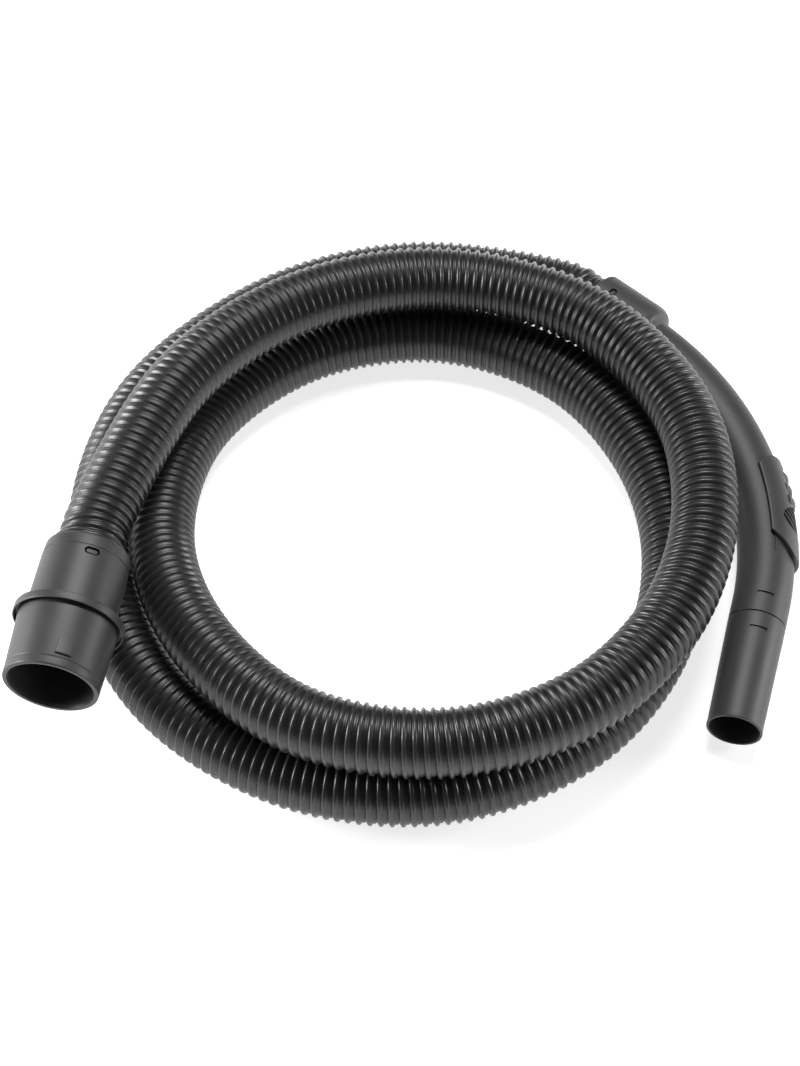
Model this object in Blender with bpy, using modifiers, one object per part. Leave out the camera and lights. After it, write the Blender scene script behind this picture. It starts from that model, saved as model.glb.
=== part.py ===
"""Vacuum hose: ribbed suction hose, machine connector and bent handle with an air slider.

Metres, +Z up, lying on the floor as it would be laid out: about two and a third turns of hose.
"""
import math

import bmesh
import bpy
from mathutils import Matrix, Vector

MM = 0.001

# hose
HOSE_RADIUS = 22.0 * MM
COIL_CENTRE = (19.7 * MM, -40.2 * MM)
POINT_STEP = 12.0            # degrees of turn between two points of the tube
END_GAP = 0.15 * MM          # half the gap between two lengths of the hose

# machine connector: the axis runs from the open mouth back to the hose
MOUTH = Vector((-226.1, -177.7, 69.0)) * MM
CONNECTOR_YAW = 9.5          # degrees, away from +Y towards +X
CONNECTOR_TILT = 2.35        # degrees, the hose end stands higher
CONNECTOR_LENGTH = 97.5 * MM
MARK_ANGLE = 19.2            # degrees, window and lug sit this far off the top
SWIVEL_BORE = 25.3 * MM
SLEEVE_OUTER = 24.8 * MM
SLEEVE_BORE = 22.35 * MM

# bent handle: a straight socket, one bend, a straight end
SOCKET = Vector((129.3, 164.6, 27.9)) * MM
HANDLE_HEADING = -42.0       # degrees from +X
HANDLE_CHORD = -77.4         # heading from the socket to the open end
HANDLE_DROP = 1.45           # degrees, the open end is thinner and lies lower
SOCKET_LENGTH = 41.0 * MM
BEND_RADIUS = 223.0 * MM
BEND_ANGLE = 63.4
END_LENGTH = 95.5 * MM
SOCKET_RADIUS = 27.0 * MM
GRIP_RADIUS = 18.9 * MM
END_RADIUS = 17.8 * MM       # fits a 35 mm wand
GRIP_BORE = 16.0 * MM
SEAM = 303.0 * MM            # where the end tube is joined on, along the handle

# air slider, measured along the handle: (degrees round from its middle, distance) along its ends
SLIDER_INNER = 19.3 * MM
SLIDER_OUTER = 22.0 * MM
SLIDER_EDGE = 0.8 * MM       # it wraps nearly half round the tube
SLIDER_MIDDLE = 218.0 * MM
SLIDER_NEAR = ((0, 179.0), (48, 179.0), (63, 180.3), (78, 182.8), (90, 185.6))
SLIDER_FAR = ((90, 239.6), (70, 245.8), (50, 251.8), (41, 253.8), (32, 254.8), (0, 254.8))
RIB_TOP = 23.1 * MM
RIB_PLACES = ((192.3, 36.0), (202.0, 38.0), (211.5, 40.0))
RIB_WIDTH = 5.4 * MM

TURN_STEPS = 32
TUBE_RESOLUTION = 10         # 24 sides

for old in list(bpy.data.objects):
    bpy.data.objects.remove(old, do_unlink=True)

scene = bpy.context.scene
parts = bpy.data.collections.new("vacuum_hose")
cutters = bpy.data.collections.new("cutters")
scene.collection.children.link(parts)
scene.collection.children.link(cutters)


def material(name, colour, roughness, metallic=0.0):
    mat = bpy.data.materials.new(name)
    mat.use_nodes = True
    shader = mat.node_tree.nodes["Principled BSDF"]
    shader.inputs["Base Color"].default_value = (*colour, 1.0)
    shader.inputs["Roughness"].default_value = roughness
    shader.inputs["Metallic"].default_value = metallic
    return mat


def add(name, data, matrix, mat=None, collection=parts):
    obj = bpy.data.objects.new(name, data)
    collection.objects.link(obj)
    obj.matrix_world = matrix
    if mat:
        data.materials.append(mat)
    if collection is cutters:
        obj.hide_render = True
        obj.display_type = "WIRE"
    return obj


def turned(name, profile, matrix, mat=None, collection=parts, steps=TURN_STEPS):
    """A ring from a closed outline of (radius, height), outer side listed from top to bottom."""
    mesh = bpy.data.meshes.new(name)
    count = len(profile)
    points = [(radius * MM, 0.0, height * MM) for radius, height in profile]
    mesh.from_pydata(points, [(i, (i + 1) % count) for i in range(count)], [])
    obj = add(name, mesh, matrix, mat, collection)
    screw = obj.modifiers.new("turn", "SCREW")
    screw.axis = "Z"
    screw.angle = math.tau
    screw.steps = steps
    screw.render_steps = steps
    screw.use_merge_vertices = True
    screw.merge_threshold = 0.00001
    return obj


def tube_curve(name, points, resolution):
    """A round tube along points of (place, radius), with filled ends."""
    curve = bpy.data.curves.new(name, "CURVE")
    curve.dimensions = "3D"
    curve.bevel_depth = 1.0
    curve.bevel_resolution = resolution
    curve.use_fill_caps = True
    spline = curve.splines.new("POLY")
    spline.points.add(len(points) - 1)
    for point, (place, radius) in zip(spline.points, points):
        point.co = (*place, 1.0)
        point.radius = radius
    return curve


def tube_mesh(name, points, matrix, mat=None, collection=parts):
    """The same tube turned into a mesh, ready to be cut."""
    curve = tube_curve(name + "_line", points, TUBE_RESOLUTION)
    line = add(name + "_line", curve, Matrix.Identity(4), collection=cutters)
    graph = bpy.context.evaluated_depsgraph_get()
    mesh = bpy.data.meshes.new_from_object(line.evaluated_get(graph))
    bpy.data.objects.remove(line, do_unlink=True)
    work = bmesh.new()
    work.from_mesh(mesh)
    bmesh.ops.remove_doubles(work, verts=work.verts, dist=0.000001)
    bmesh.ops.recalc_face_normals(work, faces=work.faces)
    work.to_mesh(mesh)
    work.free()
    mesh.name = name
    return add(name, mesh, matrix, mat, collection)


def prism(name, outline, low, high, matrix, mat=None, collection=cutters):
    """A flat outline of (x, y) carried from z = low to z = high."""
    work = bmesh.new()
    face = work.faces.new([work.verts.new((x, y, low)) for x, y in outline])
    grown = bmesh.ops.extrude_face_region(work, geom=[face])
    raised = [item for item in grown["geom"] if isinstance(item, bmesh.types.BMVert)]
    bmesh.ops.translate(work, verts=raised, vec=(0.0, 0.0, high - low))
    bmesh.ops.recalc_face_normals(work, faces=work.faces)
    mesh = bpy.data.meshes.new(name)
    work.to_mesh(mesh)
    work.free()
    return add(name, mesh, matrix, mat, collection)


def block(name, centre, size, matrix, mat=None, collection=cutters):
    half_x = size[0] / 2
    half_y = size[1] / 2
    outline = [(-half_x, -half_y), (half_x, -half_y), (half_x, half_y), (-half_x, half_y)]
    moved = [(x + centre[0], y + centre[1]) for x, y in outline]
    return prism(name, moved, centre[2] - size[2] / 2, centre[2] + size[2] / 2, matrix, mat, collection)


def boolean(obj, tool, operation):
    change = obj.modifiers.new(tool.name, "BOOLEAN")
    change.operation = operation
    change.solver = "EXACT"
    change.object = tool


black = material("hose_black", (0.012, 0.012, 0.013), 0.35)
shell_grey = material("connector_dark_grey", (0.035, 0.035, 0.037), 0.45)
grip_grey = material("handle_dark_grey", (0.033, 0.033, 0.035), 0.48)
end_grey = material("end_tube_dark_grey", (0.034, 0.034, 0.036), 0.47)
slider_grey = material("slider_dark_grey", (0.03, 0.03, 0.032), 0.5)
sleeve_black = material("sleeve_black", (0.02, 0.02, 0.021), 0.4)
ring_black = material("lock_ring_black", (0.018, 0.018, 0.018), 0.5)
rubber = material("seal_rubber", (0.015, 0.015, 0.015), 0.8)


# ---------------------------------------------------------------- hose route
# (angle round the coil in degrees, radius, height): the top turn, the turn on the floor
# inside it, and the outer turn on the floor that ends in the handle.
ROUTE = [
    (30, 203, 77), (60, 198, 73), (90, 199, 66.5), (120, 195, 63), (150, 182, 62), (180, 168, 66),
    (210, 164, 67), (240, 168, 67), (270, 175, 66.5), (300, 183, 64), (330, 183, 53), (360, 189, 36),
    (390, 196, 26), (420, 194, 23), (450, 186, 22.2), (480, 172, 22.2), (510, 157, 22.2),
    (540, 152, 22.2), (570, 157, 22.2), (600, 168, 22.2), (630, 183, 22.2), (660, 199, 22.2),
    (690, 218, 22.2), (720, 232, 22.2), (750, 243, 22.2), (780, 244, 24), (805, 243, 26),
]


def heading(degrees):
    return Vector((math.cos(math.radians(degrees)), math.sin(math.radians(degrees)), 0.0))


def between(first, second, start, end, t):
    return first.lerp(second, (t - start) / (end - start))


def smooth(points, steps):
    """Centripetal Catmull-Rom curve through the points, many short steps."""
    padded = [points[0] * 2 - points[1]] + points + [points[-1] * 2 - points[-2]]
    line = []
    for i in range(1, len(padded) - 2):
        before, start, end, after = padded[i - 1:i + 3]
        t1 = math.sqrt((start - before).length)
        t2 = t1 + math.sqrt((end - start).length)
        t3 = t2 + math.sqrt((after - end).length)
        for k in range(steps):
            t = t1 + (t2 - t1) * k / steps
            here = between(start, end, t1, t2, t)
            back = between(between(before, start, 0.0, t1, t), here, 0.0, t2, t)
            front = between(here, between(end, after, t2, t3, t), t1, t3, t)
            line.append(between(back, front, t1, t2, t))
    line.append(points[-1])
    return line


def around(angle, radius, height):
    turn = math.radians(angle)
    return Vector((COIL_CENTRE[0] - radius * MM * math.cos(turn),
                   COIL_CENTRE[1] + radius * MM * math.sin(turn), height * MM))


yaw = math.radians(CONNECTOR_YAW)
tilt = math.radians(CONNECTOR_TILT)
connector_axis = Vector((math.sin(yaw) * math.cos(tilt), math.cos(yaw) * math.cos(tilt), math.sin(tilt)))
cuff_end = MOUTH + connector_axis * CONNECTOR_LENGTH

chord = heading(HANDLE_CHORD)
across = Vector((-chord.y, chord.x, 0.0))
handle_turn = (Matrix.Rotation(math.radians(HANDLE_DROP), 4, across)
               @ Matrix.Rotation(math.radians(HANDLE_HEADING), 4, "Z"))
handle_matrix = Matrix.Translation(SOCKET) @ handle_turn
handle_axis = (handle_turn @ Vector((1.0, 0.0, 0.0))).normalized()
bend_normal = (handle_turn @ Vector((0.0, 0.0, 1.0))).normalized()

hose_start = cuff_end - connector_axis * 28 * MM
hose_end = SOCKET + handle_axis * 28 * MM
route = [hose_start, cuff_end, cuff_end + connector_axis * 11 * MM, cuff_end + connector_axis * 22 * MM]
route += [around(*point) for point in ROUTE]
route += [SOCKET - handle_axis * 22 * MM, SOCKET - handle_axis * 11 * MM, SOCKET, hose_end]
fine = smooth(route, 24)


def measured(line):
    total = [0.0]
    for start, end in zip(line, line[1:]):
        total.append(total[-1] + (end - start).length)
    return total


lengths = measured(fine)
hose_length = lengths[-1]


def at(distance):
    for i in range(len(lengths) - 1):
        if lengths[i + 1] >= distance:
            part = (distance - lengths[i]) / (lengths[i + 1] - lengths[i])
            return fine[i].lerp(fine[i + 1], part)
    return fine[-1]


def turn_of(place):
    return math.degrees(math.atan2(place.y - COIL_CENTRE[1], -(place.x - COIL_CENTRE[0])))


def crossings():
    """Distances along the hose where it passes every POINT_STEP degrees of turn."""
    found = []
    angle = turn_of(fine[0])
    for i in range(len(fine) - 1):
        step = turn_of(fine[i + 1]) - turn_of(fine[i])
        if step < -180.0:
            step += 360.0
        mark = math.floor(angle / POINT_STEP) + 1
        if (angle + step) >= mark * POINT_STEP:
            part = (mark * POINT_STEP - angle) / step
            found.append(lengths[i] + part * (lengths[i + 1] - lengths[i]))
        angle += step
    return found


straight_in = 38 * MM
straight_out = hose_length - 38 * MM
marks = [mark for mark in crossings() if straight_in + 15 * MM < mark < straight_out - 15 * MM]
stations = [0.0, straight_in] + marks + [straight_out, hose_length]
places = [at(distance) for distance in stations]
third = len(places) // 3
splits = [third, 2 * third]

# the hose is cut in the middle of a straight stretch, so both cut faces are square to it
lines = [places[:splits[0] + 1], places[splits[0] + 1:splits[1] + 1], places[splits[1] + 1:]]
for number in range(2):
    before = lines[number][-1]
    after = lines[number + 1][0]
    middle = before.lerp(after, 0.5)
    step = (after - before).normalized() * END_GAP
    lines[number].append(middle - step)
    lines[number + 1].insert(0, middle + step)
for name, line in zip(["hose_first_length", "hose_middle_length", "hose_last_length"], lines):
    data = tube_curve(name, [(place, HOSE_RADIUS) for place in line], 2)
    add(name, data, Matrix.Identity(4), black)


# ---------------------------------------------------------------- machine connector
side = connector_axis.cross(Vector((0.0, 0.0, 1.0))).normalized()
top = side.cross(connector_axis)
mark_up = top * math.cos(math.radians(MARK_ANGLE)) + side * math.sin(math.radians(MARK_ANGLE))
mark_side = connector_axis.cross(mark_up)
connector_matrix = Matrix((
    (-mark_side.x, mark_up.x, connector_axis.x, MOUTH.x),
    (-mark_side.y, mark_up.y, connector_axis.y, MOUTH.y),
    (-mark_side.z, mark_up.z, connector_axis.z, MOUTH.z),
    (0.0, 0.0, 0.0, 1.0)))

connector = turned("connector_shell", [
    (26.9, 97.5), (27.9, 96.2), (28.3, 88.5), (28.7, 49.7), (35.0, 49.2), (35.5, 48.3), (35.5, 44.3),
    (35.0, 43.4), (32.1, 43.4), (30.3, 1.2), (29.7, 0.0), (27.6, 0.0), (27.0, 2.0), (26.0, 40.0),
    (20.5, 55.0), (20.5, 59.5), (25.3, 59.5), (25.3, 97.5)], connector_matrix, shell_grey)
lug = prism("lug_bar", [(-5.2, 28.5), (5.2, 28.5), (5.2, 31.5), (-5.2, 31.5)], 8.2, 18.5,
            connector_matrix @ Matrix.Diagonal((MM, MM, MM, 1.0)))
boolean(connector, lug, "UNION")
windows = block("windows_cut", (0.0, 0.0, 84.6 * MM), (10.0 * MM, 70.0 * MM, 5.4 * MM), connector_matrix)
boolean(connector, windows, "DIFFERENCE")


def sleeve_profile(top_end, low_end, groove_top, groove_low):
    return [
        (24.2, top_end), (24.8, top_end - 0.6), (24.8, groove_top), (23.7, groove_top), (23.7, groove_low),
        (24.8, groove_low), (24.8, low_end), (22.35, low_end), (22.35, top_end)]


turned("connector_sleeve", sleeve_profile(102.3, 64.0, 87.5, 81.7), connector_matrix, sleeve_black)
lock = turned("connector_lock_ring", [(25.0, 87.0), (25.0, 82.2), (24.0, 82.2), (24.0, 87.0)],
              connector_matrix, ring_black)
for number, side_sign in enumerate((1.0, -1.0)):
    nose = block("nose_%d_bar" % number, (0.0, side_sign * 25.8 * MM, 84.6 * MM),
                 (9.2 * MM, 3.2 * MM, 4.6 * MM), connector_matrix)
    boolean(lock, nose, "UNION")
turned("connector_seal", [(25.0, 63.6), (25.0, 59.9), (21.6, 59.9), (20.9, 61.4), (21.9, 63.6)],
       connector_matrix, rubber)


# ---------------------------------------------------------------- bent handle
def along(distance):
    """Place on the handle's centre line, in the handle's own frame."""
    bend = math.radians(BEND_ANGLE)
    if distance <= SOCKET_LENGTH:
        return Vector((distance, 0.0, 0.0))
    turn = min((distance - SOCKET_LENGTH) / BEND_RADIUS, bend)
    place = Vector((SOCKET_LENGTH + BEND_RADIUS * math.sin(turn), -BEND_RADIUS * (1 - math.cos(turn)), 0.0))
    over = distance - SOCKET_LENGTH - BEND_RADIUS * bend
    if over > 0.0:
        place += Vector((math.cos(bend), -math.sin(bend), 0.0)) * over
    return place


handle_length = SOCKET_LENGTH + BEND_RADIUS * math.radians(BEND_ANGLE) + END_LENGTH
bend_end = SOCKET_LENGTH + BEND_RADIUS * math.radians(BEND_ANGLE)


def bend_stations(start, end, count):
    return [start + (end - start) * i / count for i in range(count + 1)]


outer_line = [(0.0, SOCKET_RADIUS - 0.8 * MM), (0.8 * MM, SOCKET_RADIUS), (41 * MM, SOCKET_RADIUS),
              (45 * MM, SOCKET_RADIUS - 1.1 * MM), (48.5 * MM, SOCKET_RADIUS - 4.2 * MM),
              (50.5 * MM, GRIP_RADIUS)]
outer_line += [(s, GRIP_RADIUS) for s in bend_stations(56 * MM, bend_end, 11)]
outer_line += [(SEAM - END_GAP, GRIP_RADIUS)]
grip = tube_mesh("handle_grip", [(along(s), radius) for s, radius in outer_line], handle_matrix, grip_grey)

bore_line = [(-2 * MM, SWIVEL_BORE), (38.5 * MM, SWIVEL_BORE), (38.6 * MM, GRIP_BORE)]
bore_line += [(s, GRIP_BORE) for s in bend_stations(56 * MM, bend_end, 11)]
bore_line += [(SEAM + 2 * MM, GRIP_BORE)]
bore = tube_mesh("grip_bore_cut", [(along(s), radius) for s, radius in bore_line], handle_matrix,
                 collection=cutters)
boolean(grip, bore, "DIFFERENCE")
socket_windows = block("socket_windows_cut", (12.6 * MM, 0.0, 0.0), (5.4 * MM, 10.0 * MM, 70.0 * MM),
                       handle_matrix)
boolean(grip, socket_windows, "DIFFERENCE")

end_line = [(SEAM + END_GAP, GRIP_RADIUS), (handle_length - 0.8 * MM, END_RADIUS),
            (handle_length, END_RADIUS - 0.7 * MM)]
end_tube = tube_mesh("handle_end_tube", [(along(s), radius) for s, radius in end_line], handle_matrix,
                     end_grey)
end_bore = tube_mesh("end_bore_cut", [(along(SEAM - 2 * MM), GRIP_BORE), (along(handle_length - 2 * MM),
                     15.8 * MM), (along(handle_length + 2 * MM), 16.2 * MM)], handle_matrix,
                     collection=cutters)
boolean(end_tube, end_bore, "DIFFERENCE")

# pieces inside the socket stand along the socket's own axis
socket_matrix = handle_matrix @ Matrix.Rotation(math.radians(90.0), 4, "Y")
turned("handle_sleeve", [
    (22.35, -2.4), (22.35, 33.0), (24.8, 33.0), (24.8, 15.5), (23.7, 15.5), (23.7, 9.7), (24.8, 9.7),
    (24.8, -1.8), (24.2, -2.4)], socket_matrix, sleeve_black)
handle_lock = turned("handle_lock_ring", [(25.0, 15.0), (25.0, 10.2), (24.0, 10.2), (24.0, 15.0)],
                     socket_matrix, ring_black)
for number, side_sign in enumerate((1.0, -1.0)):
    nose = block("socket_nose_%d_bar" % number, (side_sign * 25.35 * MM, 0.0, 12.6 * MM),
                 (2.5 * MM, 9.2 * MM, 4.6 * MM), socket_matrix)
    boolean(handle_lock, nose, "UNION")
turned("handle_seal", [(25.0, 37.4), (25.0, 33.4), (21.9, 33.4), (20.9, 35.8), (21.6, 37.4)],
       socket_matrix, rubber)


# ---------------------------------------------------------------- air slider
# The slider rides round the bend, so its own frame sits at the centre of the bend.
bend_centre = Vector((SOCKET_LENGTH, -BEND_RADIUS, 0.0))
slider_matrix = handle_matrix @ Matrix.Translation(bend_centre)


def on_bend(distance, radius=BEND_RADIUS):
    turn = (distance - SOCKET_LENGTH) / BEND_RADIUS
    return Vector((radius * math.sin(turn), radius * math.cos(turn), 0.0))


def outward_frame(distance):
    """Frame standing on the bend: x along the handle, y across it, z straight out."""
    out = on_bend(distance, 1.0)
    forward = Vector((out.y, -out.x, 0.0))
    up = out.cross(forward)
    place = on_bend(distance)
    return slider_matrix @ Matrix((
        (forward.x, up.x, out.x, place.x),
        (forward.y, up.y, out.y, place.y),
        (forward.z, up.z, out.z, place.z),
        (0.0, 0.0, 0.0, 1.0)))


slider = tube_mesh("air_slider", [(on_bend(s), SLIDER_OUTER) for s in
                   bend_stations(174 * MM, 266 * MM, 6)], slider_matrix, slider_grey)
half = []
for degrees, distance in SLIDER_NEAR + SLIDER_FAR:
    reach = SLIDER_OUTER * math.sin(math.radians(degrees))
    out = BEND_RADIUS + SLIDER_OUTER * math.cos(math.radians(degrees))
    x = out * math.sin((distance * MM - SLIDER_MIDDLE) / BEND_RADIUS)
    half.append((x, reach if degrees < 90 else 24.0 * MM))
shape = half + [(x, -y) for x, y in reversed(half[1:-1])]
sector = [on_bend(s, BEND_RADIUS + SLIDER_EDGE) for s in bend_stations(168 * MM, 272 * MM, 8)]
sector += [on_bend(s, BEND_RADIUS + 40 * MM) for s in bend_stations(272 * MM, 168 * MM, 8)]
outer_half = prism("slider_outer_half", [(p.x, p.y) for p in sector], -26 * MM, 26 * MM, slider_matrix)
boolean(slider, outer_half, "INTERSECT")
outline = prism("slider_outline", shape, -30 * MM, 40 * MM, outward_frame(SLIDER_MIDDLE))
boolean(slider, outline, "INTERSECT")
for number, (place, half_angle) in enumerate(RIB_PLACES):
    angles = [math.radians(half_angle * (i - 4) / 4) for i in range(9)]
    arch = [(-RIB_TOP * math.cos(angle), RIB_TOP * math.sin(angle)) for angle in angles]
    arch += [(-16 * MM, arch[-1][1]), (-16 * MM, arch[0][1])]
    lying = outward_frame(place * MM) @ Matrix.Rotation(math.radians(90.0), 4, "Y")
    rib = prism("grip_rib_%d_bar" % number, arch, -RIB_WIDTH / 2, RIB_WIDTH / 2, lying)
    boolean(slider, rib, "UNION")
hollow = tube_mesh("slider_hollow_cut", [(on_bend(s), SLIDER_INNER) for s in
                   bend_stations(169 * MM, 271 * MM, 6)], slider_matrix,
                   collection=cutters)
boolean(slider, hollow, "DIFFERENCE")
slanted = outward_frame(227.0 * MM) @ Matrix.Rotation(math.radians(45.0), 4, "Z")
for number in range(4):
    cut = block("vent_slot_%d_cut" % number, (0.0, (number - 1.5) * 3.5 * MM, 19.0 * MM),
                (24.0 * MM, 2.2 * MM, 22.0 * MM), slanted)
    boolean(slider, cut, "DIFFERENCE")

port = block("air_port_cut", (0.0, 0.0, 18.0 * MM), (16.0 * MM, 10.0 * MM, 14.0 * MM),
             outward_frame(238.0 * MM))
boolean(grip, port, "DIFFERENCE")

print("hose length mm", round(hose_length * 1000, 1), "points", len(stations))
print("handle length mm", round(handle_length * 1000, 1))
print("connector axis", [round(v, 6) for v in connector_axis], "cuff end", [round(v, 6) for v in cuff_end])
print("socket", [round(v, 6) for v in SOCKET], "axis", [round(v, 6) for v in handle_axis])
world_centre = slider_matrix.translation
print("bend centre", [round(v, 6) for v in world_centre], "normal", [round(v, 6) for v in bend_normal])
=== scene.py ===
"""Ribbed suction hose with a flanged machine connector and a bent handle with an air slider."""
import math

import bmesh
import bpy
from mathutils import Matrix, Vector


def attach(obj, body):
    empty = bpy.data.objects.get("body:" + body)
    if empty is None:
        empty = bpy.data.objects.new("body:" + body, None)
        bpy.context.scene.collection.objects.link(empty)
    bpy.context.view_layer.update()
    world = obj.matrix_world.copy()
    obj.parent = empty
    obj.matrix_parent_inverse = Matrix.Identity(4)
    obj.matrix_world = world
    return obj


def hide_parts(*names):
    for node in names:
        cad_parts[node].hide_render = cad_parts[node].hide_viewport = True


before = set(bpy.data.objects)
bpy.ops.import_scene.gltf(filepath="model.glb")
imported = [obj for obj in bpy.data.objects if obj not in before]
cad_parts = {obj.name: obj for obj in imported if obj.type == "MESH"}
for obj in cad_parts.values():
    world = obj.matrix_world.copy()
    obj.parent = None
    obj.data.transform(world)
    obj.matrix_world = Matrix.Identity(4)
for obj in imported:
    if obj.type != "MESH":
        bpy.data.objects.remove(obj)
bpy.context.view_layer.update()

MM = 0.001
UP = Vector((0.0, 0.0, 1.0))


# ---------------------------------------------------------------- camera
LENS = 72.03                 # mm
CAMERA_PLACE = (-0.0112, -0.8514, 1.1960)
CAMERA_TILT = math.radians(35.0)


def stand_camera():
    data = bpy.data.cameras.new("camera")
    data.lens = LENS
    data.clip_end = 30.0
    camera = bpy.data.objects.new("camera", data)
    camera.location = CAMERA_PLACE
    camera.rotation_euler = (CAMERA_TILT, 0.0, 0.0)
    bpy.context.scene.collection.objects.link(camera)
    bpy.context.scene.camera = camera


stand_camera()


# ---------------------------------------------------------------- node trees
class Wire:
    """A socket in a node tree; sums written with it add Math nodes to that tree."""

    def __init__(self, tree, socket=None):
        self.tree = tree
        self.socket = socket

    def node(self, kind, settings=(), inputs=(), output=0):
        """Adds any node: its settings first, then the value or link of each socket."""
        made = self.tree.nodes.new(kind)
        for name, value in dict(settings).items():
            setattr(made, name, value)
        for key, value in dict(inputs).items():
            if isinstance(value, Wire):
                self.tree.links.new(value.socket, made.inputs[key])
            else:
                made.inputs[key].default_value = value
        return Wire(self.tree, made.outputs[output])

    def other(self, name):
        """Another output of the node that this one comes from."""
        return Wire(self.tree, self.socket.node.outputs[name])

    def math(self, operation, *values):
        return self.node("ShaderNodeMath", {"operation": operation}, dict(enumerate(values)))

    def vector(self, operation, *values):
        return self.node("ShaderNodeVectorMath", {"operation": operation}, dict(enumerate(values)))

    def scaled(self, amount):
        return self.node("ShaderNodeVectorMath", {"operation": "SCALE"}, {0: self, "Scale": amount})

    def mix(self, low, high):
        """Colour between low and high, by this factor."""
        return self.node("ShaderNodeMix", {"data_type": "RGBA"}, {0: self, 6: low, 7: high}, 2)

    def __add__(self, value):
        return self.math("ADD", self, value)

    def __sub__(self, value):
        return self.math("SUBTRACT", self, value)

    def __rsub__(self, value):
        return self.math("SUBTRACT", value, self)

    def __mul__(self, value):
        return self.math("MULTIPLY", self, value)

    def __truediv__(self, value):
        return self.math("DIVIDE", self, value)

    def __pow__(self, value):
        return self.math("POWER", self, value)

    def __lt__(self, value):
        return self.math("LESS_THAN", self, value)

    def __gt__(self, value):
        return self.math("GREATER_THAN", self, value)

    __radd__ = __add__
    __rmul__ = __mul__


def grey(value, warmth=0.0):
    return (value * (1.0 + warmth), value, value * (1.0 - warmth) + value * 0.03, 1.0)


class Finish:
    """A material on the surface's own coordinates, with the parts that every plastic here shares."""

    def __init__(self, name):
        self.material = bpy.data.materials.new(name)
        self.material.use_nodes = True
        tree = self.material.node_tree
        self.shader = tree.nodes["Principled BSDF"]
        self.wire = Wire(tree)
        self.place = self.wire.node("ShaderNodeTexCoord", output="Object")

    def noise(self, size, detail=3.0, stretch=(1.0, 1.0, 1.0), roughness=0.5):
        """Soft noise whose blotches are about this wide, in metres."""
        place = self.place
        if stretch != (1.0, 1.0, 1.0):
            place = self.wire.node("ShaderNodeMapping", {"vector_type": "POINT"},
                                   {"Vector": place, "Scale": stretch})
        return self.wire.node("ShaderNodeTexNoise", {"noise_dimensions": "3D"},
                              {"Vector": place, "Scale": 1.0 / size, "Detail": detail,
                               "Roughness": roughness})

    def attribute(self, name):
        return self.wire.node("ShaderNodeAttribute", {"attribute_name": name}, output="Fac")

    def band(self, value, low, high):
        """0 where value is below low, 1 above high, and a smooth step between."""
        return self.wire.node("ShaderNodeMapRange", {"interpolation_type": "SMOOTHSTEP"},
                              {"Value": value, "From Min": low, "From Max": high})

    def bump(self, height, distance, strength=1.0, under=None):
        inputs = {"Height": height, "Distance": distance, "Strength": strength}
        if under is not None:
            inputs["Normal"] = under
        return self.wire.node("ShaderNodeBump", (), inputs)

    def set(self, **sockets):
        for name, value in sockets.items():
            socket = self.shader.inputs[name.replace("_", " ")]
            if isinstance(value, Wire):
                self.wire.tree.links.new(value.socket, socket)
            else:
                socket.default_value = value
        return self.material


def ribbed_black():
    """Soft glossy black plastic: painted shade makes the grooves and the ribs' lower flanks near black; dust
    in the grooves, crests rubbed a little smoother.
    """
    made = Finish("hose_gloss_black")
    crest = made.attribute("rib")
    blotch = made.noise(0.030, 4.0)
    streak = made.noise(0.004, 3.0, (1.0, 1.0, 0.35))
    grain = made.noise(0.0006, 2.0)
    speck = made.band(made.noise(0.0022, 5.0, roughness=0.7), 0.66, 0.74)
    in_groove = 1.0 - made.band(crest, 0.15, 0.75)
    dust = made.wire.math("MULTIPLY", in_groove * made.band(blotch, 0.42, 0.68), 0.35)
    tone = made.band(streak, 0.3, 0.7).mix(grey(0.023), grey(0.032))
    # painted shade: colour goes near black down each rib towards its groove
    tone = made.band(crest, 0.15, 0.85).mix(grey(0.003), tone)
    tone = dust.mix(tone, grey(0.016, 0.04))
    tone = (speck * 0.25).mix(tone, grey(0.07, 0.05))
    rough = 0.27 + blotch * 0.08 + in_groove * 0.14 + speck * 0.15
    normal = made.bump(grain, 0.00004, 0.45)
    normal = made.bump(streak, 0.00012, 0.35, normal)
    return made.set(Base_Color=tone, Roughness=rough, Normal=normal, Specular_IOR_Level=0.55)


def moulded(name, value, rough, grain_size=0.00045, grain_depth=0.00003):
    """Satin moulded plastic with a fine etched grain; outer edges are rubbed lighter and smoother."""
    made = Finish(name)
    cloud = made.noise(0.040, 4.0)
    flow = made.noise(0.010, 4.0, (1.0, 0.35, 1.0))
    grain = made.noise(grain_size, 2.0, roughness=0.65)
    rubbed = made.attribute("edge") * made.band(made.noise(0.006, 4.0), 0.30, 0.75)
    speck = made.band(made.noise(0.0016, 5.0, roughness=0.75), 0.69, 0.76)
    tone = made.band(cloud, 0.3, 0.7).mix(grey(value * 0.92), grey(value * 1.08))
    tone = (made.band(flow, 0.45, 0.75) * 0.5).mix(tone, grey(value * 1.14))
    tone = (rubbed * 0.6).mix(tone, grey(value * 2.2, 0.01))
    tone = (speck * 0.22).mix(tone, grey(value * 2.6, 0.03))
    roughness = rough + cloud * 0.09 - rubbed * 0.10 + grain * 0.06
    normal = made.bump(grain, grain_depth, 0.55)
    normal = made.bump(flow, 0.00015, 0.25, normal)
    return made.set(Base_Color=tone, Roughness=roughness, Normal=normal, Specular_IOR_Level=0.5)


def soft_rubber():
    made = Finish("seal_soft_rubber")
    bloom = made.noise(0.008, 5.0)
    grain = made.noise(0.0004, 2.0)
    tone = made.band(bloom, 0.35, 0.7).mix(grey(0.012), grey(0.024, 0.02))
    return made.set(Base_Color=tone, Roughness=0.72 + bloom * 0.15, Normal=made.bump(grain, 0.00003, 0.5))


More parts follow.
